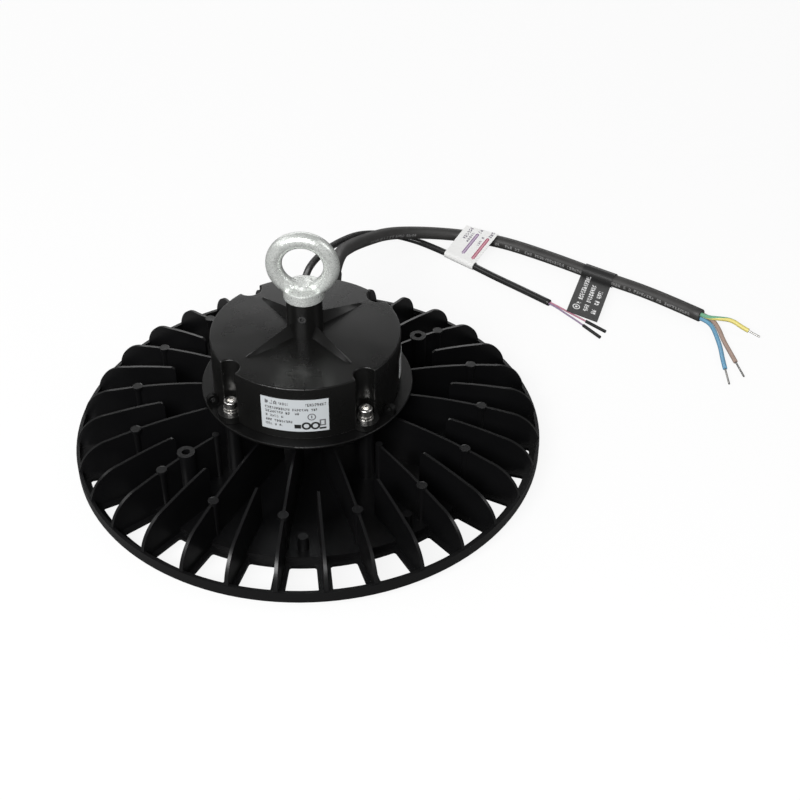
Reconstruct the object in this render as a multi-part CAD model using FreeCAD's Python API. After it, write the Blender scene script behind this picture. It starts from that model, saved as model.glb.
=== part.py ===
# High bay light: finned die-cast heat sink with a driver housing on top, an LED
# board under a lens plate below, an M10 lifting eye, and a mains and a dimming lead.
# Millimetres, +Z up. The origin is on the vertical axis, in the face it rests on.
# An azimuth is counted from the front (-Y) towards +X.
import FreeCAD, Part
from math import pi, sin, cos, tan, radians, sqrt, hypot, acos
import os

V = FreeCAD.Vector
UP = V(0, 0, 1)

# ---- driving dimensions -------------------------------------------------------
clear = 0.1             # running clearance of a bolt, or of a piece in its seat
stand = 6.0             # the casting's underside above the face it rests on

# heat sink casting
ring_r = 150.0          # outer edge
ring_h = 7.5            # height of the outer lip
ring_lip = 2.2          # thickness of the lip
flange_r = 143.8        # inner edge of the ring's flange
web_t = 2.3             # flange, spokes and plate edge
spoke_w = 8.3
window_corner = 1.6
plate_r = 119.2         # raised plate
edge_r = plate_r + 3.8  # inner edge of the windows
plate_top = 5.6
plate_t = 3.0
recess_r = plate_r - 2.2                         # recess for the lens on the underside
fin_count = 32          # alternating long and short
fin_top_t = 1.5
fin_foot_t = 2.7
fin_h = 37.8            # top of the long fins near the centre
fin_sag_r, fin_sag_h = 100.0, 33.8
fin_knee_r, fin_knee_h = 128.0, 27.7
fin_nose_r, fin_nose_h = 142.6, 20.3
fin_flat_r = 66.0       # the fins' tops are level inside this radius
long_in = 34.0          # inner ends of the long fins
short_in = 91.5         # inner ends of the short fins
short_corner = 3.2
pad_r, pad_d, pad_h = 111.2, 6.6, 2.0
pad_column_d = 4.4
boss_r, boss_d, boss_top = 93.3, 11.0, 36.3      # bracket bosses
bracket_thread = 5.0
bracket_depth = 18.0
column_r, column_d, column_foot_d = 58.5, 9.0, 10.5
post_r, post_d, post_top = column_r + 12.7, 4.4, 38.4    # pads on the fins behind the columns
hub_r, bore_r = 15.0, 8.0
column_fin_in = column_r + 12.5                  # inner ends of the long fins behind the columns
lens_boss_d, lens_boss_top = 6.2, 15.0

# driver compartment
base_r, base_t = column_r + 8.4, 2.0
base_z = 44.0           # underside of the base plate above the casting's underside
gasket_t = 0.4
edge_round = 0.6
house_r, house_wall = column_r + 0.8, 3.0
house_h = 37.6          # wall height
dome_h = 2.0            # rise of the top towards the middle
rim_round = 0.9
flute_r = 7.0           # half width of the flutes for the screws
flute_mouth = 1.0       # rounding of their vertical edges
foot_t, foot_r = 4.6, 8.3
top_boss_d, top_boss_h = 22.0, 25.7
rib_r0, rib_r1 = 8.0, 44.5
rib_h0, rib_h1 = 8.5, 0.5
rib_w0, rib_w1 = 7.4, 5.2
lug_az, lug_w, lug_h, lug_t, lug_hole = 61.7, 6.6, 7.0, 3.2, 3.8
gland_z = 58.5          # above the casting's underside
gland_face = house_r + 2.7                       # flat pad on the back wall
mains_x, dim_x = 5.0, -14.0

# fasteners
screw_d, screw_head_d, screw_head_h, screw_l = 5.0, 8.5, 5.0, 20.0
hex_socket = 4.0
washer_d, washer_t = 10.0, 1.0
spring_d, spring_t, spring_gap = 9.2, 1.3, 0.6
lens_screw_d, lens_head_d, lens_head_h, lens_screw_r = 4.0, 7.0, 2.4, recess_r - 6.0
lens_screw_az = (5.625, 39.375)                  # and every quarter turn
thread_d, shank_l = 10.0, 17.0                   # M10 lifting eye, DIN 580
eye_outer, eye_inner, eye_rise, collar_d, collar_h = 45.0, 25.0, 45.0, 25.0, 7.6
grub_d, grub_below = 5.0, 10.0
output_lead_d = 2.0

# light side
chip_s, chip_t = 3.0, 0.7
lens_r, lens_in_r = recess_r - 1.5, recess_r - 13.0
pad_sheet_t, board_t, board_r = 0.3, 1.6, lens_in_r - 2.0
chip_rings = ((26.0, 8), (47.0, 16), (68.0, 24), (board_r - 13.0, 32))
lens_t, lens_gap = 1.8, 1.2                      # thickness and room over the chips
lens_rim_t = 4.6
lens_ring_t = 3.0
optic_r, optic_h = 6.6, 2.4
board_head_d, board_head_h, board_screw_r, board_screws_n = 5.5, 1.4, board_r - 3.0, 8

# labels and leads
label_t, label_gap = 0.25, 0.04
rating_az, rating_w, rating_z, rating_h = 0.6, 41.3, 52.1, 24.1
side_az, side_w, side_z, side_h = 96.0, 24.0, 55.0, 15.0
mains_d, dim_d = 9.6, 5.0
core_d, strand_d, wire_d = 3.2, 1.3, 1.3
core_pitch, wire_side = 1.95, 0.8                # of the cores and wires from a lead's middle
strand_l = (9.0, 17.0, 17.5)                     # bared ends of earth, brown and blue
cap_d, cap_l = 2.4, 18.0
nut_l = 16.5                                     # reach of a dome nut past the flat pad
flag_t, flag_clear = 0.3, 0.45
wiring_at, wiring_turn = (88.8, 222.1), -36.0     # middle and heading of each flag's wrap
caution_at, caution_turn = (195.7, 206.2), 150.6
relief_l, relief_d0, relief_d1 = 24.0, 14.5, 11.2

QUARTERS = (-45, 45, 135, -135)                  # azimuths of the flutes and columns
BRACKETS = (-45, 135)


# ---- helpers ------------------------------------------------------------------
def at(r, az, z=0.0):
    a = radians(az)
    return V(r * sin(a), -r * cos(a), z)


def turned(shape, az):
    """A copy of a shape drawn towards +X, swung to the azimuth."""
    s = shape.copy()
    s.rotate(V(0, 0, 0), UP, az - 90)
    return s


def cyl(r, z0, z1, p=V(0, 0, 0)):
    return Part.makeCylinder(r, z1 - z0, V(p.x, p.y, z0))


def cone(r0, r1, z0, z1, p=V(0, 0, 0)):
    return Part.makeCone(r0, r1, z1 - z0, V(p.x, p.y, z0))


def ring(r0, r1, z0, z1):
    return cyl(r1, z0, z1).cut(cyl(r0, z0 - 1, z1 + 1))


def revolved(pts):
    wire = Part.makePolygon([V(r, 0, z) for r, z in pts] + [V(pts[0][0], 0, pts[0][1])])
    return Part.Face(wire).revolve(V(0, 0, 0), UP, 360)


def union(shapes):
    return shapes[0].multiFuse(shapes[1:]) if len(shapes) > 1 else shapes[0]


def hexagon(across, z0, z1, p=V(0, 0, 0), turn=0):
    r = across / sqrt(3)
    pts = [V(p.x + r * cos(radians(60 * k + turn)), p.y + r * sin(radians(60 * k + turn)), z0)
           for k in range(7)]
    return Part.Face(Part.makePolygon(pts)).extrude(V(0, 0, z1 - z0))


def along_y(shape, p):
    """A piece drawn along +Z, laid along +Y with its start at p."""
    s = shape.copy()
    s.rotate(V(0, 0, 0), V(1, 0, 0), -90)
    s.translate(p)
    return s


def save(name, shape):
    shape = shape.removeSplitter() if shape.ShapeType != "Compound" else shape
    shape.exportStep("parts/%s.step" % name)
    pieces = shape.Solids
    print("%-22s solids %2d  volume %10.1f  valid %s" %
          (name, len(pieces), sum(s.Volume for s in pieces), shape.isValid()))


def group(shapes):
    return Part.makeCompound(shapes)


# ---- heat sink ----------------------------------------------------------------
deck = stand + plate_top                 # top of the raised plate
ceiling = stand + plate_top - plate_t    # underside of the plate, where the board sits
column_top = stand + base_z
gland_axis_z = stand + gland_z


def fin_outline(r_in, corner):
    """Side view of a fin in the XZ plane, from its inner end to the ring."""
    def p(r, h):
        return V(r, 0, stand + h)

    def line(*ends):
        return Part.makeLine(*ends)
    sag = Part.Arc(p(fin_flat_r, fin_h), p(fin_sag_r, fin_sag_h),
                   p(fin_knee_r, fin_knee_h)).toShape().Curve

    def on_sag(r):
        return V(r, 0, sag.Center.z + sqrt(sag.Radius ** 2 - (r - sag.Center.x) ** 2))
    foot, out = plate_top - plate_t / 2, ring_r - ring_lip / 3
    top = on_sag(max(fin_flat_r, r_in + corner))
    if corner:
        low = V(r_in, 0, top.z - corner)
        bend = corner * (1 - sqrt(0.5))
        run = [line(p(r_in, foot), low),
               Part.Arc(low, V(r_in + bend, 0, top.z - bend), top).toShape()]
    elif r_in < fin_flat_r:
        run = [line(p(r_in, foot), p(r_in, fin_h)), line(p(r_in, fin_h), top)]
    else:
        run = [line(p(r_in, foot), top)]
    run += [Part.Arc(top, on_sag((top.x + fin_knee_r) / 2), p(fin_knee_r, fin_knee_h)).toShape(),
            Part.Arc(p(fin_knee_r, fin_knee_h), p(fin_nose_r, fin_nose_h),
                     p(out, ring_h)).toShape(),
            line(p(out, ring_h), p(out, web_t / 2)),
            line(p(out, web_t / 2), p(plate_r - 1, web_t / 2)),
            line(p(plate_r - 1, web_t / 2), p(plate_r - 1, foot)),
            line(p(plate_r - 1, foot), p(r_in, foot))]
    return Part.Wire(run)


def fin(r_in, corner=0.0):
    """A fin towards +X: its side view, thinned towards the top by the draft."""
    flat = Part.Face(fin_outline(r_in, corner)).extrude(V(0, 2 * fin_foot_t, 0))
    flat.translate(V(0, -fin_foot_t, 0))
    a, b, top = fin_foot_t / 2, fin_top_t / 2, stand + fin_h + 1
    wedge = Part.makePolygon([V(0, -a, stand), V(0, a, stand), V(0, b, top), V(0, -b, top),
                              V(0, -a, stand)])
    return flat.common(Part.Face(wedge).extrude(V(ring_r, 0, 0)))


def window():
    """A rounded opening between two spokes, centred on +X."""
    half = pi / fin_count

    def corner(r, side):
        # the side runs parallel to the spoke, half its width away
        a = side * half
        inward = (spoke_w / 2) / r
        t = a - side * (inward + 0.5 * inward ** 3 / 3)
        return V(r * cos(t), r * sin(t), 0)
    q = [corner(edge_r, -1), corner(flange_r, -1), corner(flange_r, 1), corner(edge_r, 1)]
    wire = Part.Wire([Part.makeLine(q[0], q[1]), Part.Arc(q[1], V(flange_r, 0, 0), q[2]).toShape(),
                      Part.makeLine(q[2], q[3]), Part.Arc(q[3], V(edge_r, 0, 0), q[0]).toShape()])
    hole = Part.Face(wire).extrude(V(0, 0, web_t + 2))
    uprights = [e for e in hole.Edges if abs(e.Vertexes[0].Z - e.Vertexes[-1].Z) > web_t]
    hole = hole.makeFillet(window_corner, uprights)
    hole.translate(V(0, 0, stand - 1))
    return hole


def lens_screw_places(z=0.0):
    return [at(lens_screw_r, az + q, z) for q in (0, 90, 180, 270) for az in lens_screw_az]


def heat_sink():
    s = stand
    body = revolved([(bore_r, ceiling), (recess_r, ceiling), (recess_r, s), (ring_r, s),
                     (ring_r, s + ring_h), (ring_r - ring_lip, s + ring_h),
                     (ring_r - ring_lip, s + web_t), (plate_r, s + web_t), (plate_r, deck),
                     (bore_r, deck)])
    step = 360.0 / fin_count
    body = body.cut(group([turned(window(), step * (k + 0.5)) for k in range(fin_count)]))
    grown = []
    for k in range(fin_count):
        az = step * k
        if k % 2:
            grown.append(turned(fin(short_in, short_corner), az))
            continue
        on_column = any(abs((az - q + 180) % 360 - 180) < 1 for q in QUARTERS)
        grown.append(turned(fin(column_fin_in if on_column else long_in), az))
        grown.append(cyl(pad_column_d / 2, deck - 1, s + 31.0, at(pad_r, az)))
        grown.append(cyl(pad_d / 2, s + 32.2 - pad_h, s + 32.2, at(pad_r, az)))
    for az in QUARTERS:
        grown.append(cone(column_foot_d / 2, column_d / 2, deck - 1, column_top, at(column_r, az)))
        grown.append(cyl(post_d / 2, deck - 1, s + post_top, at(post_r, az)))
    for az in BRACKETS:
        grown.append(cyl(boss_d / 2, deck - 1, s + boss_top, at(boss_r, az)))
    for p in lens_screw_places():
        grown.append(cone(lens_boss_d / 2 + 0.5, lens_boss_d / 2, deck - 1, s + lens_boss_top, p))
    grown.append(cyl(hub_r, deck - 1, column_top))
    body = union([body] + grown)
    holes = [cyl(bore_r, deck - 5, column_top + 1)]
    holes += [cyl(screw_d / 2 + clear, column_top - 16, column_top + 1, at(column_r, az))
              for az in QUARTERS]
    holes += [cyl(bracket_thread / 2, s + boss_top - bracket_depth, s + boss_top + 1,
                  at(boss_r, az)) for az in BRACKETS]
    holes += [cyl(lens_screw_d / 2 + clear, s, s + lens_boss_top - 3, p)
              for p in lens_screw_places()]
    return body.cut(group(holes))


# ---- driver compartment -------------------------------------------------------
base_top = column_top + base_t
house_z = base_top + gasket_t
house_top = house_z + house_h


def top_at(r):
    """Height of the housing's shallow conical top."""
    return house_top + dome_h * (house_r - r) / (house_r - top_boss_d / 2)


def base_plate():
    body = cyl(base_r, column_top, base_top)
    body = body.makeFillet(edge_round, [e for e in body.Edges if e.Curve.TypeId.endswith("Circle")])
    lugs = []
    for az in (-lug_az, lug_az):
        mid = base_r - lug_w / 2 - 0.6
        plate = Part.makeBox(lug_w, lug_t, lug_h - lug_w / 2 + 1,
                             V(mid - lug_w / 2, -lug_t / 2, base_top - 1))
        nose = Part.makeCylinder(lug_w / 2, lug_t, V(mid, -lug_t / 2, base_top + lug_h - lug_w / 2),
                                 V(0, 1, 0))
        hole = Part.makeCylinder(lug_hole / 2, 3 * lug_t,
                                 V(mid, -1.5 * lug_t, base_top + lug_h - lug_w / 2), V(0, 1, 0))
        lugs.append(turned(plate.fuse(nose).cut(hole), az))
    pegs = [cyl(3.5, base_top - 1, board_z, p) for p in board_pegs()]
    body = union([body] + lugs + pegs)
    holes = [cyl(screw_d / 2 + clear, column_top - 1, base_top + 1, at(column_r, az))
             for az in QUARTERS]
    return body.cut(group(holes + [cyl(bore_r, column_top - 1, base_top + 1)]))


def flute(r, z0, z1, az):
    """The U-shaped space round a screw, open towards the outside."""
    bar = Part.makeBox(3 * r, 2 * r, z1 - z0, V(column_r, -r, z0))
    return turned(cyl(r, z0, z1, V(column_r, 0, 0)).fuse(bar), az)


def open_flute(z0, z1, az):
    """The same space with its mouth flared into the round wall by tangent arcs."""
    r, f = flute_r, flute_mouth
    a, b, c = house_r - f, r + f, column_r
    phi = acos((a * a + c * c - b * b) / (2 * a * c))
    top = []
    for side in (1, -1):
        round_at = V(a * cos(phi), side * a * sin(phi), 0)
        wall = round_at * (house_r / a)
        seat = V(c, 0, 0) + (round_at - V(c, 0, 0)) * (r / b)
        mid = round_at + ((wall - round_at) + (seat - round_at)).normalize() * f
        top.append((wall + V(8, 0, 0), wall, mid, seat))
    (far, wall, mid, seat), (far2, wall2, mid2, seat2) = top
    wire = Part.Wire([Part.makeLine(far, wall), Part.Arc(wall, mid, seat).toShape(),
                      Part.Arc(seat, V(c - r, 0, 0), seat2).toShape(),
                      Part.Arc(seat2, mid2, wall2).toShape(), Part.makeLine(wall2, far2),
                      Part.makeLine(far2, far)])
    space = Part.Face(wire).extrude(V(0, 0, z1 - z0))
    space.translate(V(0, 0, z0))
    return turned(space, az)


def gland_pad():
    x0, x1 = dim_x - 11, mains_x + 12
    pad = Part.makeBox(x1 - x0, 14, 21.5, V(x0, gland_face - 14, house_z))
    tops = [e for e in pad.Edges
            if e.BoundBox.ZMin > house_z + 21 or (e.BoundBox.YMin > gland_face - 1
                                                  and e.BoundBox.ZLength > 10)]
    return pad.makeFillet(1.5, tops)


def driver_housing():
    edge = house_r
    body = revolved([(0, house_z), (edge, house_z), (edge, house_top),
                     (top_boss_d / 2, top_at(top_boss_d / 2)), (0, top_at(top_boss_d / 2))])
    for az in QUARTERS:
        body = body.cut(open_flute(house_z + foot_t, house_top + 9, az))
    rim = [e for e in body.Edges if e.BoundBox.ZMin > house_z + house_h / 2
           and hypot(e.CenterOfMass.x, e.CenterOfMass.y) > column_r - flute_r - 1
           or e.BoundBox.ZMin > house_top - 0.5 and e.Length > 60 and e.BoundBox.ZLength < 0.01
           and e.BoundBox.ZMax < house_top + 0.1]
    body = body.makeFillet(rim_round, rim)
    boss_top_z = house_top + top_boss_h
    boss = cone(top_boss_d / 2 + 0.5, top_boss_d / 2, house_top - 3, boss_top_z)
    ribs = []
    for az in QUARTERS:
        def section(r, w, h):
            z = top_at(r) - 0.6
            return Part.makePolygon([V(r, -w / 2, z), V(r, w / 2, z), V(r, 0, z + h + 0.6),
                                     V(r, -w / 2, z)])
        ribs.append(turned(Part.makeLoft([section(rib_r0, rib_w0, rib_h0),
                                          section(rib_r1, rib_w1, rib_h1)], True, True), az))
    feet = [cyl(foot_r, house_z, house_z + foot_t, at(column_r, az)) for az in QUARTERS]
    body = union([body, boss, gland_pad()] + ribs + feet)
    hollow = cyl(house_r - house_wall, house_z - 1, house_top - house_wall)
    for az in QUARTERS:
        hollow = hollow.cut(flute(flute_r + house_wall, house_z - 2, house_top, az))
    body = body.cut(hollow)
    holes = [cyl(screw_d / 2 + clear, house_z - 1, house_z + foot_t + 1, at(column_r, az))
             for az in QUARTERS]
    holes.append(cyl(thread_d / 2 + clear, boss_top_z - shank_l - 2, boss_top_z + 1))
    grub_z = boss_top_z - grub_below
    holes.append(Part.makeCylinder(grub_d / 2 + clear, top_boss_d, V(0, -top_boss_d, grub_z),
                                   V(0, 1, 0)))
    for x, d in ((mains_x, gland_thread(mains_d)), (dim_x, gland_thread(dim_d))):
        holes.append(Part.makeCylinder(d / 2 + clear, 20, V(x, gland_face - 15, gland_axis_z),
                                       V(0, 1, 0)))
    return body.cut(group(holes))


def base_gasket():
    outline = cyl(house_r - 0.4, base_top, house_z)
    inner = cyl(house_r - house_wall + 0.2, base_top - 1, house_z + 1)
    for az in QUARTERS:
        inner = inner.cut(flute(flute_r + house_wall, base_top - 2, house_z + 2, az))
    body = outline.cut(inner)
    return body.cut(group([cyl(screw_d / 2 + 4 * clear, base_top - 1, house_z + 1,
                               at(column_r, az)) for az in QUARTERS]))


# ---- fasteners ----------------------------------------------------------------
foot_top = house_z + foot_t
washer_top = foot_top + washer_t
spring_top = washer_top + spring_t + spring_gap


def housing_screws():
    out = []
    for az in QUARTERS:
        p = at(column_r, az)
        head = cyl(screw_head_d / 2, spring_top, spring_top + screw_head_h, p)
        head = head.makeChamfer(0.5, [e for e in head.Edges if e.BoundBox.ZMin > spring_top + 1
                                      and e.Curve.TypeId.endswith("Circle")])
        socket = hexagon(hex_socket, spring_top + screw_head_h / 2,
                         spring_top + screw_head_h + 1, p)
        shank = cyl(screw_d / 2, spring_top - screw_l, spring_top + 0.1, p)
        out.append(head.fuse(shank).cut(socket).removeSplitter())
    return group(out)


def flat_washers():
    return group([cyl(washer_d / 2, foot_top, washer_top, at(column_r, az))
                  .cut(cyl(screw_d / 2 + clear, foot_top - 1, washer_top + 1, at(column_r, az)))
                  for az in QUARTERS])


def spring_washers():
    """One split turn each, with its two ends sprung apart."""
    out = []
    for az in QUARTERS:
        p = at(column_r, az)
        body = cyl(spring_d / 2, washer_top, spring_top, p)
        body = body.cut(cyl(screw_d / 2 + clear, washer_top - 1, spring_top + 1, p))
        slot = Part.makeBox(spring_d, 0.8, 10, V(0, -0.4, -5))
        slot.rotate(V(0, 0, 0), V(1, 0, 0), 25)
        slot = turned(slot, 0)
        slot.translate(V(p.x, p.y, (washer_top + spring_top) / 2))
        out.append(body.cut(slot))
    return group(out)


def eye_bolt():
    z0 = house_top + top_boss_h
    major, minor = (eye_outer + eye_inner) / 4, (eye_outer - eye_inner) / 4
    centre = V(0, 0, z0 + eye_rise - eye_outer / 2)
    eye = Part.makeTorus(major, minor, centre, V(0, 1, 0))
    saddle = eye_rise - eye_outer / 2 - eye_inner / 2
    r = collar_d / 2
    foot = revolved([(0, z0), (r - 0.6, z0), (r, z0 + 0.6), (r, z0 + collar_h - 1.2),
                     (r - 0.4, z0 + collar_h - 0.4), (r - 1.4, z0 + collar_h),
                     (minor + 2.5, z0 + collar_h + 0.8), (minor, z0 + saddle + 0.6),
                     (0, z0 + saddle + 0.6)])
    hole = Part.makeCylinder(eye_inner / 2, 2 * collar_d, centre - V(0, collar_d, 0), V(0, 1, 0))
    shank = cyl(thread_d / 2, z0 - shank_l, z0 + 1)
    shank = shank.makeChamfer(1.0, [e for e in shank.Edges if e.BoundBox.ZMax < z0 - shank_l + 0.1
                                    and e.Curve.TypeId.endswith("Circle")])
    return union([eye, foot.cut(hole), shank])


def grub_screw():
    z = house_top + top_boss_h - grub_below
    length = top_boss_d / 2 - thread_d / 2 + 0.3
    body = Part.makeCylinder(grub_d / 2, length, V(0, -thread_d / 2 - length, z), V(0, 1, 0))
    socket = hexagon(2.5, 0, 2.5)
    socket = along_y(socket, V(0, -thread_d / 2 - length - 0.5, z))
    return body.cut(socket)


# ---- driver -------------------------------------------------------------------
board_z = base_top + 7.0
pcb_t = 1.6
pcb_r = 45.0


def board_pegs():
    return [at(38.0, az) for az in (0, 90, 180, 270)]


def driver_board():
    holes = [cyl(1.7, board_z - 1, board_z + 3, p) for p in board_pegs()]
    return cyl(pcb_r, board_z, board_z + pcb_t).cut(group(holes))


def output_leads():
    """The two leads from the driver down the hub's bore to the board with the chips."""
    return group([cyl(output_lead_d / 2, sheet_z, board_z, V(x, 0, 0)) for x in (-3.0, 3.0)])


def driver_parts():
    z = board_z + pcb_t
    core = Part.makeBox(26, 22, 16, V(10, -11, z))
    winding = Part.makeCylinder(9.0, 18.0, V(14, 0, z + 9), V(1, 0, 0))
    caps = [cyl(8.0, z, z + 22.0, V(-26, -14, 0)), cyl(8.0, z, z + 22.0, V(-26, 4, 0)),
            cyl(5.0, z, z + 16.0, V(-14, -32, 0))]
    choke = ring(5.0, 11.0, z, z + 9.0)
    choke.translate(V(6, -27, 0))
    bridge = Part.makeBox(22, 5, 15, V(-2, 16.0, z))
    inlet = Part.makeBox(24, 10, 11, V(-16, 28, z))
    return {"driver_transformer": core.fuse(winding), "driver_capacitors": group(caps),
            "driver_choke": choke, "driver_rectifier": bridge, "driver_terminals": inlet}


# ---- light side ---------------------------------------------------------------
sheet_z = ceiling - pad_sheet_t
board_low = sheet_z - board_t
chip_low = board_low - chip_t
lens_top = chip_low - lens_gap
lens_low = lens_top - lens_t
rim_top = lens_low + lens_rim_t


def chip_places():
    return [(r, 360.0 * (k + 0.5 * (n // 8 % 2)) / n) for r, n in chip_rings for k in range(n)]


def board_screw_places():
    return [at(board_screw_r, 360.0 * (k + 0.5) / board_screws_n) for k in range(board_screws_n)]


def led_board():
    body = cyl(board_r, board_low, sheet_z)
    return body.cut(group([cyl(1.6, board_low - 1, sheet_z + 1, p)
                           for p in board_screw_places()]))


def thermal_pad():
    body = ring(bore_r + 1, board_r - 1, sheet_z, ceiling)
    return body.cut(group([cyl(1.6, sheet_z - 1, ceiling + 1, p) for p in board_screw_places()]))


def led_chips():
    chip = Part.makeBox(chip_s, chip_s, chip_t, V(-chip_s / 2, -chip_s / 2, chip_low))
    out = []
    for r, az in chip_places():
        c = chip.copy()
        c.translate(V(r, 0, 0))
        out.append(turned(c, az))
    return group(out)


def board_screws():
    out = []
    for p in board_screw_places():
        head = cyl(board_head_d / 2, board_low - board_head_h, board_low, p)
        out.append(head.fuse(cyl(1.5, board_low - 0.1, ceiling - 0.05, p)))
    return group(out)


def lens_plate():
    """A moulded lens: a rim that takes the gasket, and one shallow optic per chip."""
    body = revolved([(0, lens_low), (lens_r, lens_low), (lens_r, rim_top),
                     (lens_in_r, rim_top), (lens_in_r, lens_top), (0, lens_top)])
    optics = [cone(optic_r * 0.62, optic_r, lens_low - optic_h, lens_low + 0.5, at(r, az))
              for r, az in chip_places()]
    body = union([body] + optics)
    return body.cut(group([cyl(lens_screw_d / 2 + 2 * clear, lens_low - 1, rim_top + 1, p)
                           for p in lens_screw_places()]))


def lens_gasket():
    body = ring(lens_in_r + 1, lens_r - 0.5, rim_top, ceiling)
    return body.cut(group([cyl(lens_screw_d / 2 + 2 * clear, rim_top - 1, ceiling + 1, p)
                           for p in lens_screw_places()]))


def lens_ring():
    body = ring(lens_in_r, lens_r, 0, lens_low)
    body = body.makeChamfer(0.5, [e for e in body.Edges if e.BoundBox.ZMax < 0.01
                                  and e.Curve.TypeId.endswith("Circle")])
    seats = [cyl(lens_head_d / 2 + 2 * clear, -1, lens_head_h, p) for p in lens_screw_places()]
    bores = [cyl(lens_screw_d / 2 + 2 * clear, 0, lens_low + 1, p) for p in lens_screw_places()]
    return body.cut(group(seats)).cut(group(bores))


def lens_screws():
    out = []
    for p in lens_screw_places():
        head = cyl(lens_head_d / 2, 0.2, lens_head_h, p)
        shank = cyl(lens_screw_d / 2, lens_head_h - 0.1, stand + lens_boss_top - 5, p)
        out.append(head.fuse(shank).cut(hexagon(2.5, 0, 1.4, p)).removeSplitter())
    return group(out)


# ---- cable glands -------------------------------------------------------------
def gland_thread(cable):
    return 16.0 if cable > 6 else 12.0


def gland(cable, x):
    """Body and dome nut of a gland screwed into the flat pad."""
    d = gland_thread(cable)
    across = d + 2.5
    p = V(x, gland_face, gland_axis_z)
    bore = cable / 2 + 2 * clear
    body = cyl(d / 2, -5.0, 0.5).fuse(hexagon(across, 0, 5.0, turn=30)).fuse(
        cyl(d / 2 - 0.6, 4.5, 9.0)).cut(cyl(bore, -6, 10))
    nut = revolved([(bore, 9.0 + clear), (d / 2 - 0.6 + clear, 9.0 + clear),
                    (d / 2 - 0.6 + clear, 5.0), (across / 2, 5.0), (across / 2, 11.0),
                    (across / 2 - 2.4, nut_l - 1.5), (cable / 2 + 1.2, nut_l), (bore, nut_l)])
    seal = cyl(bore, 9.0 + clear, nut_l)
    return along_y(body, p), along_y(nut, p), along_y(seal, p)


def strain_relief():
    return along_y(cone(relief_d0 / 2, relief_d1 / 2, 0, relief_l),
                   V(mains_x, gland_face + nut_l, gland_axis_z))


# ---- leads --------------------------------------------------------------------
def tube(points, d, report):
    """A round tube of straight runs joined by tangent arcs."""
    pts = [V(*p) for p in points]
    edges, here, radii = [], pts[0], []
    for a, b, c in zip(pts, pts[1:], pts[2:]):
        u, w = (b - a), (c - b)
        short = min(u.Length, w.Length)
        u.normalize()
        w.normalize()
        turn = acos(max(-1.0, min(1.0, u.dot(w))))
        cut = 0.45 * short
        r = cut / tan(turn / 2)
        p, q = b - u * cut, b + w * cut
        inward = (w - u).normalize()
        mid = b + inward * (r / cos(turn / 2) - r)
        edges += [Part.makeLine(here, p), Part.Arc(p, mid, q).toShape()]
        radii.append(r)
        here = q
    edges.append(Part.makeLine(here, pts[-1]))
    path = Part.Wire(edges)
    start = (pts[1] - pts[0]).normalize()
    section = Part.Wire(Part.makeCircle(d / 2, pts[0], start))
    solid = path.makePipeShell([section], True, False)
    length = sum(e.Length for e in edges)
    print("%-20s length %6.1f  least radius %5.1f = %4.1f d  volume / (section x length) %.4f" %
          (report, length, min(radii), min(radii) / d, solid.Volume / (pi * d * d / 4 * length)))
    return solid


def beyond(route, step, side=0.0, z=None):
    """A point past a route's end, level, and moved sideways to the right of its last run."""
    a, b = V(*route[-2]), V(*route[-1])
    u = (b - a).normalize()
    q = b + u * step + V(u.y, -u.x, 0) * side
    return (q.x, q.y, b.z if z is None else z)


floor_m, floor_d, floor_c, floor_w = mains_d / 2, dim_d / 2, core_d / 2, cap_d / 2
mains_route = ((mains_x, gland_face + nut_l + relief_l, gland_axis_z),
               (mains_x, 126, gland_axis_z), (10, 158, 51.5), (18, 190, 37), (31, 221, 24),
               (52, 243, 12.5), (82, 255, floor_m), (117, 249, floor_m), (157, 229, floor_m),
               (198, 204.5, floor_m), (236, 184.5, floor_m), (268.8, 160, floor_m))
dim_route = ((dim_x, gland_face + nut_l, gland_axis_z), (dim_x, 100, gland_axis_z),
             (-13, 128, 56), (-8.5, 158, 46.5), (-1, 187, 36.5), (8.5, 214, 26), (19, 233, 16),
             (32, 244.5, 8.5), (50.5, 246.5, 3.2), (68, 237, floor_d), (90, 221.5, floor_d),
             (115.5, 201, floor_d), (138.5, 184.3, floor_d), (157.7, 169.6, floor_d))
half = core_pitch / 2
rise = core_pitch * sqrt(0.75)
earth_route = (beyond(mains_route, 0, half, floor_m + rise),
               beyond(mains_route, 6, half, floor_m + rise), (279.5, 151.9, 8.9),
               (289.5, 150.9, 8.8), (296.6, 146.2, 6.2), (301.4, 143.7, 5.0))
brown_route = (beyond(mains_route, 0, -core_pitch, floor_m),
               beyond(mains_route, 8, -core_pitch, floor_m), (280.6, 147, 3.2),
               (282.8, 134.5, 2.0), (286.2, 121.5, floor_c), (289, 110, floor_c))
blue_route = (beyond(mains_route, 0, half, floor_m - rise),
              beyond(mains_route, 6, half, floor_m - rise), (276.4, 149.4, 2.7),
              (278.4, 139, 2.0), (280, 126, floor_c), (280.1, 112.5, floor_c),
              (280.8, 101.5, floor_c))
plus_route = (beyond(dim_route, 0, -wire_side), beyond(dim_route, 6.5, -wire_side),
              (171, 161, 1.5), (177.7, 156, floor_w), (184.5, 150.3, floor_w))
minus_route = (beyond(dim_route, 0, wire_side), beyond(dim_route, 6.5, wire_side),
               (170.2, 157.8, 1.5), (176.8, 151.5, floor_w), (182.4, 145, floor_w))


def end_piece(route, d, length):
    """A straight end that carries on from the last run of a route."""
    a, b = V(*route[-2]), V(*route[-1])
    u = (b - a).normalize()
    return Part.makeCylinder(d / 2, length, b, u)


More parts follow.
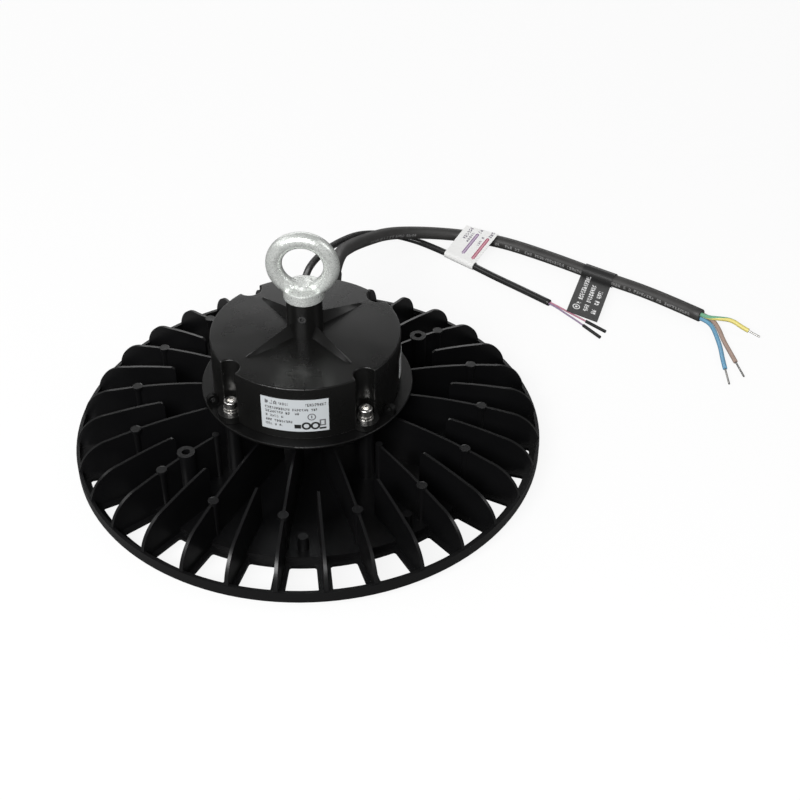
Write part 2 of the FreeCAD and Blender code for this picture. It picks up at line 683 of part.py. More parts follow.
# ---- labels -------------------------------------------------------------------
def wall_label(az, width, z, h):
    half = width / 2 / house_r * 180 / pi
    sheet = ring(house_r + label_gap, house_r + label_gap + label_t, stand + z, stand + z + h)
    wedge = Part.Face(Part.makePolygon([V(0, 0, 0), at(90, az - half), at(90, az + half),
                                        V(0, 0, 0)])).extrude(V(0, 0, 200))
    return sheet.common(wedge)


def flag(lead_d, centre, heading, width, lengths, skew, start, rise):
    """A printed label wrapped over a lead, with its flat tail towards the left of the heading."""
    r = lead_d / 2 + flag_clear
    wrap = Part.makeCylinder(r + flag_t, width, V(-width / 2, 0, 0), V(1, 0, 0))
    core = Part.makeCylinder(r, 2 * width, V(-width, 0, 0), V(1, 0, 0))
    y0 = sqrt(max(r * r - start * start, 0.0))
    corners = [(-width / 2, 0), (width / 2, 0), (width / 2 - skew, lengths[1]),
               (-width / 2 - skew, lengths[0])]
    outline = [V(x, y, 0) for x, y in corners + corners[:1]]
    tail = Part.Face(Part.makePolygon(outline)).extrude(V(0, 0, flag_t))
    tail.rotate(V(0, 0, 0), V(1, 0, 0), rise)
    tail.translate(V(0, y0, start - (flag_t / 2 if y0 else 0)))
    s = wrap.fuse(tail).cut(core)
    s.rotate(V(0, 0, 0), UP, heading)
    s.translate(V(*centre))
    return s.common(Part.makeBox(4 * ring_r, 4 * ring_r, ring_r, V(-2 * ring_r, -2 * ring_r, 0)))


# ---- the pieces ---------------------------------------------------------------
os.makedirs("parts", exist_ok=True)
save("heat_sink", heat_sink())
save("driver_base_plate", base_plate())
save("base_gasket", base_gasket())
save("driver_housing", driver_housing())
save("housing_screws", housing_screws())
save("flat_washers", flat_washers())
save("spring_washers", spring_washers())
save("eye_bolt", eye_bolt())
save("grub_screw", grub_screw())
save("driver_board", driver_board())
save("output_leads", output_leads())
for name, shape in driver_parts().items():
    save(name, shape)
save("led_board", led_board())
save("thermal_pad", thermal_pad())
save("led_chips", led_chips())
save("board_screws", board_screws())
save("lens_plate", lens_plate())
save("lens_gasket", lens_gasket())
save("lens_ring", lens_ring())
save("lens_screws", lens_screws())
seals = []
for name, cable, x in (("mains_gland", mains_d, mains_x), ("dim_gland", dim_d, dim_x)):
    body, nut, seal = gland(cable, x)
    save(name + "_body", body)
    save(name + "_nut", nut)
    seals.append(seal)
save("gland_seals", group(seals))
save("mains_strain_relief", strain_relief())
save("mains_cable", tube(mains_route, mains_d, "mains_cable"))
save("dim_cable", tube(dim_route, dim_d, "dim_cable"))
save("earth_core", tube(earth_route, core_d, "earth_core"))
save("brown_core", tube(brown_route, core_d, "brown_core"))
save("blue_core", tube(blue_route, core_d, "blue_core"))
save("core_ends", group([end_piece(r, strand_d, length) for r, length in
                         zip((earth_route, brown_route, blue_route), strand_l)]))
save("dim_wire_plus", tube(plus_route, wire_d, "dim_wire_plus"))
save("dim_wire_minus", tube(minus_route, wire_d, "dim_wire_minus"))
save("dim_end_caps", group([end_piece(r, cap_d, cap_l) for r in (plus_route, minus_route)]))
save("rating_label", wall_label(rating_az, rating_w, rating_z, rating_h))
save("side_label", wall_label(side_az, side_w, side_z, side_h))
save("wiring_flag", flag(dim_d, (*wiring_at, floor_d), wiring_turn, 28.0, (31.5, 37.0), 5.5,
                         dim_d / 2 + flag_clear, 10.4))
save("caution_flag", flag(mains_d, (*caution_at, floor_m), caution_turn, 25.5, (49.0, 49.0),
                          13.8, 0.0, -1.0))
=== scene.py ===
import bpy, bmesh
from math import pi, sin, cos, radians
from mathutils import Vector, Matrix


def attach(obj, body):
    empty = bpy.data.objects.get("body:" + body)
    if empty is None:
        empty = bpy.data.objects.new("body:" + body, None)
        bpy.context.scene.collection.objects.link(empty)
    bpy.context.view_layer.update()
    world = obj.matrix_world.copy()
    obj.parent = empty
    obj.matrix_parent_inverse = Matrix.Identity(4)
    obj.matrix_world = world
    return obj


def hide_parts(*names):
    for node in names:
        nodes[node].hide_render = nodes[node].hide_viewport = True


# A high bay light on a white floor. Metres, +Z up, the same frame as the CAD model.
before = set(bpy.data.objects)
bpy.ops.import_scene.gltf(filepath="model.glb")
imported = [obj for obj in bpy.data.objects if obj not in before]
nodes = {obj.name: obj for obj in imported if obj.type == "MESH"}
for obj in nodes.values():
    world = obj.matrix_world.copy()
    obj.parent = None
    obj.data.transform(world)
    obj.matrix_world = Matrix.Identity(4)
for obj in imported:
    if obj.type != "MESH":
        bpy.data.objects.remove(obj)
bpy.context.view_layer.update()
MM = 0.001
PER_METRE = 1000.0                    # millimetres

# a copy of a CAD node: what is welded, what counts as flat and as sharp, and the bevel's steps
WELD, FLAT, SHARP, BEVEL_STEPS = 2e-6, 0.6, 28.0, 2
# a lead: facets round it, and how far its cut ends are eased, as a part of its radius
GIRTH_STEPS, END_EASE = 28, 0.08
# fine print: cells across and up a mark, how many stay bare, and how many marks are a space
MARK_COLUMNS, MARK_ROWS, BARE_CELLS, SPACES = 4.0, 5.0, 0.32, 0.16
CELL_SEED, SPACE_SEED = 3.0, 40.0
LABEL_R = 59.5                        # millimetres, of the labels on the round wall


# ---- camera -------------------------------------------------------------------
def camera():
    heading, pitch, roll = radians(4.294), radians(-38.92), radians(0.517)
    stands_at = (0.11139, -0.69543, 0.60187)
    data = bpy.data.cameras.new("camera")
    data.lens, data.sensor_width, data.clip_start = 63.0, 36.0, 0.01
    cam = bpy.data.objects.new("camera", data)
    cam.matrix_world = (Matrix.Translation(stands_at)
                        @ Matrix.Rotation(heading, 4, "Z")
                        @ Matrix.Rotation(pi / 2 + pitch, 4, "X")
                        @ Matrix.Rotation(roll, 4, "Z"))
    bpy.context.collection.objects.link(cam)
    bpy.context.scene.camera = cam


# ---- shader arithmetic --------------------------------------------------------
class Val:
    """A number in a tree of nodes. Operators add the nodes that work it out."""

    def __init__(self, shader, out):
        self.shader, self.out = shader, out

    def math(self, kind, *others):
        n = self.shader.node("Math", dict(enumerate((self,) + others)), operation=kind)
        return Val(self.shader, n.outputs[0])

    def __add__(self, o): return self.math("ADD", o)
    def __sub__(self, o): return self.math("SUBTRACT", o)
    def __mul__(self, o): return self.math("MULTIPLY", o)
    def __gt__(self, o): return self.math("GREATER_THAN", o)
    def __lt__(self, o): return self.math("LESS_THAN", o)
    def __rsub__(self, o): return (self * -1.0) + o
    __radd__, __rmul__ = __add__, __mul__

    def max(self, o): return self.math("MAXIMUM", o)
    def atan2(self, o): return self.math("ARCTAN2", o)
    def sqrt(self): return self.math("SQRT")
    def floor(self): return self.math("FLOOR")
    def fract(self): return self.math("FRACT")

    def ramp(self, a, b, va=0.0, vb=1.0):
        """va below a, vb above b, and a straight slope between them."""
        n = self.shader.node("MapRange", {"Value": self, "From Min": a, "From Max": b,
                                          "To Min": va, "To Max": vb})
        return Val(self.shader, n.outputs["Result"])

    def between(self, a, b):
        return (self > a) * (self < b)


class Shader:
    """The tree of nodes of a material or of the world."""

    def __init__(self, tree):
        self.tree = tree

    def plug(self, source, socket):
        """Links a value or an output to a socket, or writes a plain value in it."""
        source = source.out if isinstance(source, Val) else source
        if isinstance(source, bpy.types.NodeSocket):
            self.tree.links.new(source, socket)
        else:
            socket.default_value = source

    def node(self, kind, sockets=None, **settings):
        """Adds a node: its settings first, then what goes in each of its sockets."""
        n = self.tree.nodes.new("ShaderNode" + kind)
        for key, value in settings.items():
            setattr(n, key, value)
        for key, value in (sockets or {}).items():
            self.plug(value, n.inputs[key])
        return n

    def seen(self):
        """1 for what the camera sees, straight or through clear plastic, and 0 for its light."""
        path = self.node("LightPath")
        return Val(self, path.outputs["Is Camera Ray"]).max(
            Val(self, path.outputs["Is Transmission Ray"]))


class Look(Shader):
    """A Principled material, built up step by step."""

    def __init__(self, name, colour, rough, **constants):
        self.mat = bpy.data.materials.new(name)
        self.mat.use_nodes = True
        self.mat.diffuse_color = (*colour, 1)
        super().__init__(self.mat.node_tree)
        self.bsdf = self.tree.nodes["Principled BSDF"]
        self.feed("Base Color", (*colour, 1)).feed("Roughness", rough)
        for key, value in constants.items():
            self.feed(key.replace("_", " "), value)
        self.place = self.node("TexCoord").outputs["Object"]

    def feed(self, name, source):
        self.plug(source, self.bsdf.inputs[name])
        return self

    def xyz(self, source=None):
        return [Val(self, o) for o in self.node("SeparateXYZ", {0: source or self.place}).outputs]

    def uv(self):
        return self.xyz(self.node("UVMap", uv_map="UVMap").outputs[0])[:2]

    def vector(self, *parts):
        return self.node("CombineXYZ", dict(enumerate(parts))).outputs[0]

    def noise(self, scale, detail, source=None):
        n = self.node("TexNoise", {"Vector": source or self.place, "Scale": scale,
                                   "Detail": detail, "Roughness": 0.55})
        return Val(self, n.outputs["Fac"])

    def chance(self, *parts):
        """A number from 0 to 1 that stays the same over each whole cell."""
        n = self.node("TexWhiteNoise", {"Vector": self.vector(*parts)})
        return Val(self, n.outputs["Value"])

    def cells(self, scale):
        n = self.node("TexVoronoi", {"Vector": self.place, "Scale": scale})
        return Val(self, n.outputs["Distance"])

    def blend(self, fac, a, b):
        a, b = (c if isinstance(c, bpy.types.NodeSocket) else (*c, 1) for c in (a, b))
        return self.node("Mix", {"Factor": fac, 6: a, 7: b}, data_type="RGBA").outputs[2]

    def bump(self, height, distance, strength):
        n = self.node("Bump", {"Strength": strength, "Distance": distance, "Height": height})
        return self.feed("Normal", n.outputs[0])


# ---- materials ----------------------------------------------------------------
def powder(name, colour, rough, shine=0.42):
    """Sprayed and baked powder paint: a fine orange peel over a slightly uneven sheen."""
    m = Look(name, colour, rough, Specular_IOR_Level=shine)
    grain, peel, patch = m.noise(2600, 2), m.noise(800, 2), m.noise(28, 4)
    m.feed("Roughness", patch.ramp(0.3, 0.7, rough - 0.05, rough + 0.06))
    pale = tuple(c * 1.4 for c in colour)
    m.feed("Base Color", m.blend(grain.ramp(0.35, 0.75), colour, pale))
    return m.bump(grain * 0.12 + peel, 0.00005, 0.35)


def zinc():
    """Hot-dip galvanised steel: pale, slightly mottled, with soft grain."""
    dull, fresh, dark = (0.76, 0.79, 0.76), (0.93, 0.95, 0.92), (0.30, 0.32, 0.30)
    m = Look("zinc", dull, 0.3, Metallic=0.55)
    patch, grain, cloud = m.cells(330), m.noise(900, 3), m.noise(90, 4)
    shade = m.blend(cloud.ramp(0.3, 0.7), dull, fresh)
    speck = (m.noise(1300, 2) * 0.7 + cloud * 0.3).ramp(0.46, 0.62) * 0.5
    m.feed("Base Color", m.blend(speck, shade, dark))
    m.feed("Roughness", (patch * 0.5 + cloud * 0.5).ramp(0.15, 0.75, 0.2, 0.38))
    return m.bump(grain, 0.00025, 0.8)


def steel(name, colour, rough):
    """Bare drawn or turned steel, and tinned copper."""
    m = Look(name, colour, rough, Metallic=1.0)
    m.feed("Roughness", m.noise(900, 3).ramp(0.3, 0.7, rough - 0.06, rough + 0.08))
    return m.bump(m.noise(2200, 2), 0.00003, 0.6)


def plastic(name, colour, rough):
    """Moulded plastic, or a skin of it: an even colour with a faint grain."""
    m = Look(name, colour, rough)
    m.feed("Roughness", m.noise(60, 3).ramp(0.3, 0.7, rough - 0.04, rough + 0.05))
    return m.bump(m.noise(1200, 2), 0.00003, 0.7)


def lead_rubber(name, colour, rough, print_at=None):
    """A drawn jacket: faint lines along it, a matt bloom, and worn marks where print_at says.

    print_at turns the rows of marks round the girth, from 0 to 1.
    """
    m = Look(name, colour, rough)
    around, along = m.uv()
    lines = m.noise(1.0, 3, source=m.vector(around * 26.0, along * 60.0, 0.0))
    bloom = m.noise(70, 4)
    m.feed("Roughness", bloom.ramp(0.3, 0.7, rough - 0.07, rough + 0.07))
    pale = tuple(c * 1.5 + 0.002 for c in colour)
    shade = m.blend((bloom * 0.6 + lines * 0.4).ramp(0.4, 0.65), colour, pale)
    if print_at is not None:
        marks = print_rows(m, along * PER_METRE, (around + print_at).fract(),
                           [(0.46, 0.54, 92.0, 158.0, 2.2), (0.46, 0.54, 226.0, 398.0, 2.2)])
        shade = m.blend(marks * 0.9, shade, (0.26, 0.26, 0.26))
    m.feed("Base Color", shade)
    return m.bump(lines + m.noise(1800, 2) * 0.4, 0.00006, 0.8)


def two_colour(name, first, second, rough):
    """Insulation with a second colour over part of its girth, winding slowly round it."""
    m = Look(name, first, rough)
    around, along = m.uv()
    turn = (around + along * 15.0 + 0.18).fract()
    m.feed("Base Color", m.blend(turn.between(0.28, 0.86), first, second))
    return m.feed("Roughness", m.noise(200, 2).ramp(0.3, 0.7, rough - 0.04, rough + 0.05))


def box_mask(u, v, u0, u1, v0, v1):
    return u.between(u0, u1) * v.between(v0, v1)


def print_rows(m, u, v, rows):
    """Rows of small broken marks, as fine print looks: (v0, v1, u0, u1, pitch of a mark)."""
    total = None
    for k, (v0, v1, u0, u1, pitch) in enumerate(rows):
        across, up = u * (MARK_COLUMNS / pitch), (v - v0) * (MARK_ROWS / (v1 - v0))
        mark = across * (1 / MARK_COLUMNS)
        cell = m.chance(across.floor(), up.floor(), CELL_SEED + k)
        gap = (mark.fract() * MARK_COLUMNS) > MARK_COLUMNS - 1
        space = m.chance(mark.floor(), 0.0, SPACE_SEED + k) < SPACES
        row = box_mask(u, v, u0, u1, v0, v1) * (cell > BARE_CELLS) * (1.0 - gap.max(space))
        total = row if total is None else total.max(row)
    return total


def ringed(u, v, cu, cv, r0, r1):
    away = ((u - cu) * (u - cu) + (v - cv) * (v - cv)).sqrt()
    return away.between(r0, r1)


def disc(u, v, cu, cv, r):
    return ringed(u, v, cu, cv, -1.0, r)


def wall_axes(m, az, width, z):
    """Millimetres across and up a label on the round wall, from its lower left corner."""
    x, y, h = m.xyz()
    return (x.atan2(y * -1.0) - radians(az)) * LABEL_R + width / 2, h * PER_METRE - z


def rating_film():
    """Silvery label with meaningless rows, boxes and rings for its print."""
    silver, ink_grey, ink_black = (0.58, 0.61, 0.63), (0.05, 0.05, 0.05), (0.012, 0.012, 0.012)
    m = Look("rating_film", silver, 0.36)
    u, v = wall_axes(m, az=0.6, width=41.3, z=58.1)
    fine = print_rows(m, u, v, [
        (19.3, 21.5, 27.5, 39.8, 1.5), (15.7, 17.6, 2.4, 34.3, 1.4), (12.8, 14.7, 2.3, 24.0, 1.4),
        (9.7, 11.5, 2.4, 14.1, 1.4), (6.3, 8.1, 2.4, 19.6, 1.4), (3.2, 5.0, 2.3, 12.9, 1.4)])
    title = print_rows(m, u, v, [(19.4, 22.3, 2.5, 10.6, 2.7), (19.6, 21.6, 11.2, 17.1, 1.5)])
    open_box = (box_mask(u, v, 35.6, 39.4, 4.0, 8.8)
                * (1.0 - box_mask(u, v, 36.5, 38.5, 4.9, 7.9)))
    bold = box_mask(u, v, 20.4, 24.4, 2.4, 5.4).max(ringed(u, v, 27.6, 4.4, 1.6, 2.9))
    bold = bold.max(ringed(u, v, 33.0, 4.4, 1.6, 2.9)).max(box_mask(u, v, 35.4, 39.6, 1.5, 2.8))
    sign = ringed(u, v, 31.0, 11.2, 1.9, 2.6).max(box_mask(u, v, 30.6, 31.4, 10.2, 12.4))
    shade = m.blend(fine, silver, ink_grey)
    shade = m.blend(title.max(sign).max(open_box), shade, (0.14, 0.14, 0.15))
    m.feed("Base Color", m.blend(bold, shade, ink_black))
    m.feed("Roughness", m.noise(30, 2).ramp(0.3, 0.7, 0.3, 0.42))
    return m


def side_film():
    """The small label round the side, with four plain rows."""
    silver = (0.62, 0.63, 0.63)
    m = Look("side_film", silver, 0.38)
    u, v = wall_axes(m, az=96.0, width=24.0, z=61.0)
    ink = print_rows(m, u, v, [(2.5 + 3.2 * k, 3.8 + 3.2 * k, 2.0, 21.0 - 3.0 * (k % 2), 1.3)
                               for k in range(4)])
    return m.feed("Base Color", m.blend(ink, silver, (0.12, 0.12, 0.13)))


def flag_axes(m, centre, heading):
    """Millimetres along the lead and out along the tail, from the middle of the wrap."""
    x, y, _ = m.xyz()
    dx, dy = x * PER_METRE - centre[0], y * PER_METRE - centre[1]
    c, s = cos(radians(heading)), sin(radians(heading))
    return dx * c + dy * s, dy * c - dx * s


def wire_sign(u, v, u0, v0, v1):
    """A plain drawn wire: two thin lines closed by a round end."""
    outer = box_mask(u, v, u0 - 1.5, u0 + 1.5, v0, v1).max(disc(u, v, u0, v1, 1.5))
    inner = box_mask(u, v, u0 - 0.7, u0 + 0.7, v0 - 1, v1).max(disc(u, v, u0, v1, 0.7))
    return outer, inner


def wiring_film():
    """White flag with fine print, a purple drawn wire and a pink one."""
    white = (0.88, 0.88, 0.87)
    m = Look("wiring_film", white, 0.5)
    u, v = flag_axes(m, wiring_at, wiring_turn)
    u = u + v * 0.16                  # the print leans over the film
    ink = print_rows(m, v, u, [(-9.8, -6.8, 18.0, 31.0, 2.5), (-5.4, -3.2, 16.0, 27.0, 2.3),
                               (4.4, 6.6, 17.0, 27.0, 2.3), (-1.4, 1.6, 29.6, 36.0, 2.6),
                               (8.8, 11.6, 29.0, 36.0, 2.6)])
    body = m.blend(ink, white, (0.22, 0.20, 0.24))
    for u0, v0, v1, line, fill in ((-0.4, 4.0, 26.5, (0.22, 0.12, 0.26), (0.52, 0.43, 0.55)),
                                   (9.8, 3.0, 26.5, (0.34, 0.05, 0.11), (0.62, 0.30, 0.36))):
        outer, inner = wire_sign(u, v, u0, v0, v1)
        body = m.blend(inner, m.blend(outer, body, line), fill)
    m.feed("Base Color", body)
    return m


def caution_film():
    """Black flag with three rows of plain white marks and a ring."""
    dark, white = (0.022, 0.022, 0.022), (0.80, 0.80, 0.80)
    m = Look("caution_film", dark, 0.36)
    u, v = flag_axes(m, caution_at, caution_turn)
    u = u + v * 0.28                  # the print leans over the film
    ink = print_rows(m, v, u, [(5.7, 9.3, 5.5, 41.0, 2.8), (-1.2, 2.4, 13.5, 46.8, 2.8),
                               (-7.7, -4.1, 18.5, 48.2, 2.8)])
    sign = ringed(u, v, 8.2, 45.4, 2.2, 3.0).max(disc(u, v, 8.2, 45.4, 1.1))
    return m.feed("Base Color", m.blend(ink.max(sign), dark, white))


def clear_lens():
    return Look("clear_lens", (0.93, 0.95, 0.96), 0.06, IOR=1.49, Transmission_Weight=0.92)


# ---- pieces -------------------------------------------------------------------
def dress(name, look):
    """Gives a CAD node a material and leaves its shape."""
    materials = nodes[name].data.materials
    materials.clear()
    materials.append(look.mat)


def sharp_by_angle(bm, limit):
    for f in bm.faces:
        f.smooth = True
    for e in bm.edges:
        e.smooth = len(e.link_faces) == 2 and e.calc_face_angle(0.0) < limit


def add_mesh(name, bm, look, node):
    """A mesh of its own that rides on the light's one body and stands for a CAD node."""
    me = bpy.data.meshes.new(name)
    bm.normal_update()
    bm.to_mesh(me)
    bm.free()
    me.materials.append(look.mat)
    o = bpy.data.objects.new(name, me)
    bpy.context.collection.objects.link(o)
    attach(o, "root")
    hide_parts(node)
    return o


def finished(node, look, width, sharp=SHARP):
    """A copy of a CAD node with its sharp edges rounded off."""
    bm = bmesh.new()
    bm.from_mesh(nodes[node].data)
    bmesh.ops.remove_doubles(bm, verts=bm.verts, dist=WELD)
    bmesh.ops.dissolve_limit(bm, angle_limit=radians(FLAT), verts=bm.verts, edges=bm.edges,
                             delimit=set())
    edges = [e for e in bm.edges if len(e.link_faces) == 2
             and e.calc_face_angle(0.0) > radians(sharp)]
    bmesh.ops.bevel(bm, geom=edges, offset=width, offset_type="OFFSET", segments=BEVEL_STEPS,
                    affect="EDGES", profile=0.5, material=-1, clamp_overlap=True)
    bmesh.ops.triangulate(bm, faces=[f for f in bm.faces if len(f.verts) > 4])
    sharp_by_angle(bm, radians(sharp))
    o = add_mesh(node + "_finish", bm, look, node)
    o.modifiers.new("flat_faces", "WEIGHTED_NORMAL").keep_sharp = True


# ---- leads --------------------------------------------------------------------
def beyond(route, step, side=0.0, z=None):
    """A point past a route's end, level, and moved sideways to the right of its last run."""
    a, b = Vector(route[-2]), Vector(route[-1])
    u = (b - a).normalized()
    q = b + u * step + Vector((u.y, -u.x, 0)) * side
    return (q.x, q.y, b.z if z is None else z)


# millimetres, as the CAD source has them
axis_z = 64.5
mains_d, dim_d, core_d, wire_d = 9.6, 5.0, 3.2, 1.3
lying = mains_d / 2                   # height of the mains lead's middle on the floor
wiring_at, wiring_turn = (88.8, 222.1), -36.0
caution_at, caution_turn = (195.7, 206.2), 150.6
half, rise, wire_side = 0.975, 1.6887, 0.8
mains = ((5, 102.5, axis_z), (5, 126, axis_z), (10, 158, 51.5), (18, 190, 37), (31, 221, 24),
         (52, 243, 12.5), (82, 255, 4.8), (117, 249, 4.8), (157, 229, 4.8), (198, 204.5, 4.8),
         (236, 184.5, 4.8), (268.8, 160, 4.8))
dim = ((-14, 78.5, axis_z), (-14, 100, axis_z), (-13, 128, 56), (-8.5, 158, 46.5),
       (-1, 187, 36.5), (8.5, 214, 26), (19, 233, 16), (32, 244.5, 8.5), (50.5, 246.5, 3.2),
       (68, 237, 2.5), (90, 221.5, 2.5), (115.5, 201, 2.5), (138.5, 184.3, 2.5),
       (157.7, 169.6, 2.5))
earth = (beyond(mains, 0, half, lying + rise), beyond(mains, 6, half, lying + rise),
         (279.5, 151.9, 8.9), (289.5, 150.9, 8.8), (296.6, 146.2, 6.2), (301.4, 143.7, 5.0))
brown = (beyond(mains, 0, -2 * half, lying), beyond(mains, 8, -2 * half, lying), (280.6, 147, 3.2),
         (282.8, 134.5, 2.0), (286.2, 121.5, 1.6), (289, 110, 1.6))
blue = (beyond(mains, 0, half, lying - rise), beyond(mains, 6, half, lying - rise),
        (276.4, 149.4, 2.7), (278.4, 139, 2.0), (280, 126, 1.6), (280.1, 112.5, 1.6),
        (280.8, 101.5, 1.6))
plus = (beyond(dim, 0, -wire_side), beyond(dim, 6.5, -wire_side), (171, 161, 1.5),
        (177.7, 156, 1.2), (184.5, 150.3, 1.2))
minus = (beyond(dim, 0, wire_side), beyond(dim, 6.5, wire_side), (170.2, 157.8, 1.5),
         (176.8, 151.5, 1.2), (182.4, 145, 1.2))


def centreline(route):
    """The smooth line of a route, read from its NURBS spline, in metres."""
    data = bpy.data.curves.new("line", "CURVE")
    data.dimensions = "3D"
    spline = data.splines.new("NURBS")
    spline.points.add(len(route) - 1)
    for p, q in zip(spline.points, route):
        p.co = (*(c * MM for c in q), 1)
    spline.order_u = 3
    spline.use_endpoint_u = True
    spline.resolution_u = 14
    o = bpy.data.objects.new("line", data)
    line = bpy.data.meshes.new_from_object(o)
    pts = [v.co.copy() for v in line.vertices]
    bpy.data.objects.remove(o)
    bpy.data.curves.remove(data)
    bpy.data.meshes.remove(line)
    return pts


def tube(name, route, d, look):
    """A round lead along a route, with its ends eased, and a UV map: girth, and metres along."""
    pts = centreline(route)
    r = d * MM / 2
    pts.insert(1, pts[0] + (pts[1] - pts[0]).normalized() * r * END_EASE)
    pts.insert(-1, pts[-1] + (pts[-2] - pts[-1]).normalized() * r * END_EASE)
    bm = bmesh.new()
    uv = bm.loops.layers.uv.new("UVMap")
    side, rings, gone = None, [], [0.0]
    for k, p in enumerate(pts):
        ahead = (pts[min(k + 1, len(pts) - 1)] - pts[max(k - 1, 0)]).normalized()
        if side is None:
            side = ahead.cross(Vector((0, 0, 1))).normalized()
        side = (side - ahead * side.dot(ahead)).normalized()
        other = ahead.cross(side)
        size = r * (1 - END_EASE if k in (0, len(pts) - 1) else 1)
        rings.append([bm.verts.new(p + (side * cos(t) + other * sin(t)) * size)
                      for t in (2 * pi * j / GIRTH_STEPS for j in range(GIRTH_STEPS))])
        if k:
            gone.append(gone[-1] + (p - pts[k - 1]).length)
    for k, (a, b) in enumerate(zip(rings, rings[1:])):
        for j in range(GIRTH_STEPS):
            i = (j + 1) % GIRTH_STEPS
            f = bm.faces.new((a[j], a[i], b[i], b[j]))
            for loop, (s, t) in zip(f.loops, ((j, k), (j + 1, k), (j + 1, k + 1), (j, k + 1))):
                loop[uv].uv = (s / GIRTH_STEPS, gone[t])
    for k, end in ((0, rings[0][::-1]), (-1, rings[-1])):
        f = bm.faces.new(end)
        for loop in f.loops:
            loop[uv].uv = (0.5, gone[k])
    bmesh.ops.recalc_face_normals(bm, faces=bm.faces)
    sharp_by_angle(bm, radians(50))
    o = add_mesh(name + "_lead", bm, look, name)
    return o, pts, gone[-1]


def lead(name, route, d, look, slot, **more):
    o, pts, length = tube(name, route, d, look)


# ---- stage --------------------------------------------------------------------
def white_floor():
    """Glows a little where it is seen, and gives off less of its own light on the part."""
    size, below = 6, 0.0002
    bm = bmesh.new()
    bmesh.ops.create_grid(bm, x_segments=1, y_segments=1, size=size)
    me = bpy.data.meshes.new("floor")
    bm.to_mesh(me)
    bm.free()
    floor = bpy.data.objects.new("floor", me)
    floor.location.z = -below
    bpy.context.collection.objects.link(floor)
    mat = bpy.data.materials.new("floor")
    mat.use_nodes = True
    shader = Shader(mat.node_tree)
    seen = shader.seen()
    matt = shader.tree.nodes["Principled BSDF"]
    shader.plug(0.9, matt.inputs["Roughness"])
    shader.plug(seen * 0.56 + 0.14, matt.inputs["Base Color"])
    glow = shader.node("Emission", {"Strength": 1.05})
    mix = shader.node("MixShader", {0: seen * 0.84, 1: matt.outputs[0], 2: glow.outputs[0]})
    shader.plug(mix.outputs[0], shader.tree.nodes["Material Output"].inputs[0])
    me.materials.append(mat)


def white_room():
    """White where it is seen, and dim as a light."""
    world = bpy.data.worlds.new("world")
    bpy.context.scene.world = world
    world.use_nodes = True
    shader = Shader(world.node_tree)
    back = shader.tree.nodes["Background"]
    shader.plug((1, 1, 1, 1), back.inputs["Color"])
    shader.plug(shader.seen() * 0.83 + 0.17, back.inputs["Strength"])


def softbox(name, place, aim, width, height, power):
    data = bpy.data.lights.new(name, "AREA")
    data.shape, data.size, data.size_y, data.energy = "RECTANGLE", width, height, power
    o = bpy.data.objects.new(name, data)
    o.location = place
    o.rotation_euler = (Vector(aim) - Vector(place)).to_track_quat("-Z", "Y").to_euler()
    bpy.context.collection.objects.link(o)


camera()
white_floor()
white_room()
middle = (0, 0, 0.05)                 # of the light, where every softbox points
for name, place, width, height, watts in (
        ("front", (-0.35, -1.15, 1.0), 1.2, 0.6, 28), ("back", (-0.25, 1.45, 0.6), 1.6, 0.5, 5.5),
        ("left", (-1.3, 0.1, 1.0), 0.8, 0.8, 3.5), ("right", (1.4, -0.1, 1.0), 0.7, 0.8, 4)):
    softbox(name, place, middle, width, height, watts)
bpy.context.scene.view_settings.view_transform = "Standard"

casting = powder("casting_powder", (0.0030, 0.0030, 0.0033), 0.33)
cover = powder("cover_powder", (0.0040, 0.0040, 0.0038), 0.29)
bright = steel("bright_steel", (0.62, 0.61, 0.59), 0.28)
dark_rubber = plastic("dark_rubber", (0.016, 0.016, 0.016), 0.62)
black = plastic("black_plastic", (0.014, 0.014, 0.0145), 0.42)

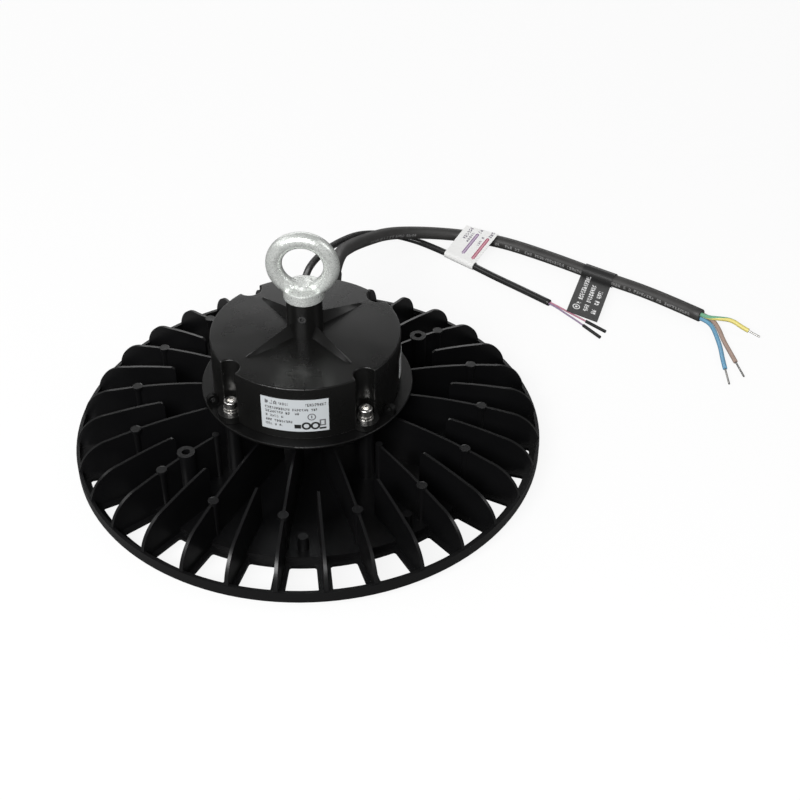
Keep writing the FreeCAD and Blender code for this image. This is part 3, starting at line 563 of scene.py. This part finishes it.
finished("heat_sink", casting, 0.35 * MM)
finished("driver_base_plate", powder("plate_powder", (0.0026, 0.0026, 0.0026), 0.36, 0.24),
         0.5 * MM)
finished("lens_ring", casting, 0.3 * MM)
finished("driver_housing", cover, 0.35 * MM)
finished("eye_bolt", zinc(), 0.4 * MM, sharp=35)
finished("housing_screws", bright, 0.2 * MM)
finished("flat_washers", bright, 0.12 * MM)
finished("spring_washers", bright, 0.12 * MM)
finished("lens_screws", bright, 0.2 * MM)
finished("grub_screw", plastic("gloss_black", (0.03, 0.03, 0.03), 0.16), 0.15 * MM)
for name in ("mains_gland_body", "mains_gland_nut", "dim_gland_body", "dim_gland_nut"):
    finished(name, black, 0.4 * MM)
finished("mains_strain_relief", dark_rubber, 0.5 * MM)
dress("gland_seals", dark_rubber)
dress("rating_label", rating_film())
dress("side_label", side_film())
dress("wiring_flag", wiring_film())
dress("caution_flag", caution_film())
dress("lens_plate", clear_lens())
for names, look in (
        (("base_gasket", "lens_gasket", "thermal_pad"), plastic("gasket", (0.2, 0.2, 0.2), 0.7)),
        (("driver_board",), plastic("green_board", (0.02, 0.12, 0.05), 0.4)),
        (("led_board", "driver_terminals"), plastic("white_board", (0.8, 0.8, 0.78), 0.4)),
        (("led_chips",), plastic("chips", (0.85, 0.62, 0.1), 0.3)),
        (("board_screws",), bright),
        (("driver_transformer", "driver_rectifier", "output_leads"), black),
        (("driver_choke",), plastic("winding", (0.5, 0.2, 0.06), 0.3)),
        (("driver_capacitors",), plastic("sleeve", (0.03, 0.03, 0.05), 0.3)),
        (("core_ends",), steel("tinned", (0.52, 0.51, 0.49), 0.35)),
        (("dim_end_caps",), black)):
    for name in names:
        dress(name, look)

jacket = lead_rubber("jacket", (0.034, 0.033, 0.032), 0.5, print_at=0.44)
thin_jacket = lead_rubber("thin_jacket", (0.016, 0.016, 0.016), 0.25)
lead("mains_cable", mains, mains_d, jacket, "black_rubber", stiffness="medium",
     with_pieces=["mains_strain_relief_finish", "wiring_flag", "caution_flag", "core_ends"])
lead("dim_cable", dim, dim_d, thin_jacket, "black_rubber", with_pieces=["dim_end_caps"])
lead("earth_core", earth, core_d, two_colour("earth_skin", (0.17, 0.42, 0.26),
                                             (0.78, 0.68, 0.20), 0.35), "core_green")
lead("brown_core", brown, core_d, plastic("brown_skin", (0.40, 0.29, 0.24), 0.36), "core_brown")
lead("blue_core", blue, core_d, plastic("blue_skin", (0.16, 0.37, 0.55), 0.34), "core_blue")
lead("dim_wire_plus", plus, wire_d, plastic("pink_skin", (0.52, 0.22, 0.30), 0.35),
     "wire_pink")
lead("dim_wire_minus", minus, wire_d, plastic("purple_skin", (0.30, 0.22, 0.34), 0.35),
     "wire_purple")
